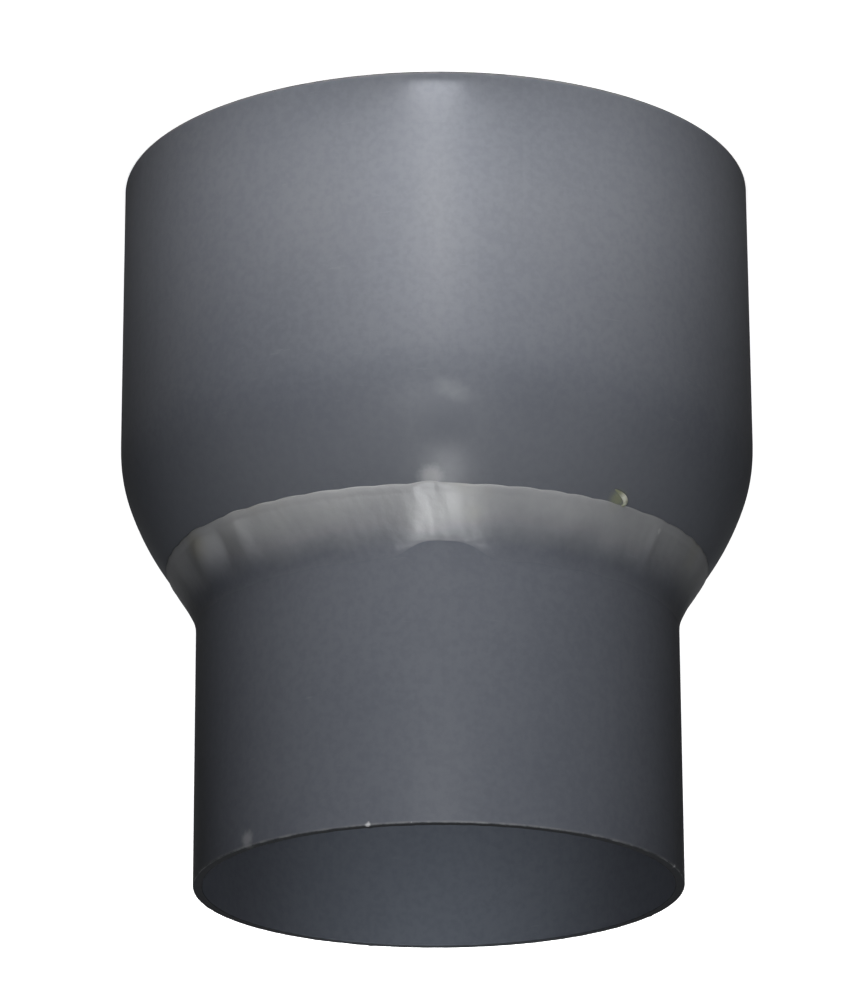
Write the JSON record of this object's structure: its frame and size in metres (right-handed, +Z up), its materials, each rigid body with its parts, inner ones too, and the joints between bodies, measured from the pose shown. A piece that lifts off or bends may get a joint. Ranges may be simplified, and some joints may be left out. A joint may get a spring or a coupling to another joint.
{
  "type": "concentric pipe reducer",
  "caption": "Concentric pipe reducer of welded grey rigid PVC: a wide socket barrel, a drawn-in shoulder and a narrower spigot on one axis, joining a large pipe to a smaller one.",
  "frame": {"origin": "centre of the large end's face, which stands on the floor", "axes": "+Z up along the common axis, from the large end to the small end; X and Y are free because every ring is turned about Z"},
  "size_m": [0.1652, 0.1652, 0.19],
  "materials": {
    "pvc_grey": "satin dark bluish-grey rigid PVC",
    "weld_grey": "satin lighter grey PVC weld"
  },
  "bodies": {
    "root": {"socket_barrel": "pvc_grey", "drawn_shoulder": "pvc_grey", "spigot_pipe": "pvc_grey", "barrel_cover_weld": "pvc_grey", "barrel_root_weld": "weld_grey", "neck_root_weld": "weld_grey", "neck_cover_weld": "weld_grey", "neck_inner_weld": "weld_grey"}
  },
  "joints": []
}
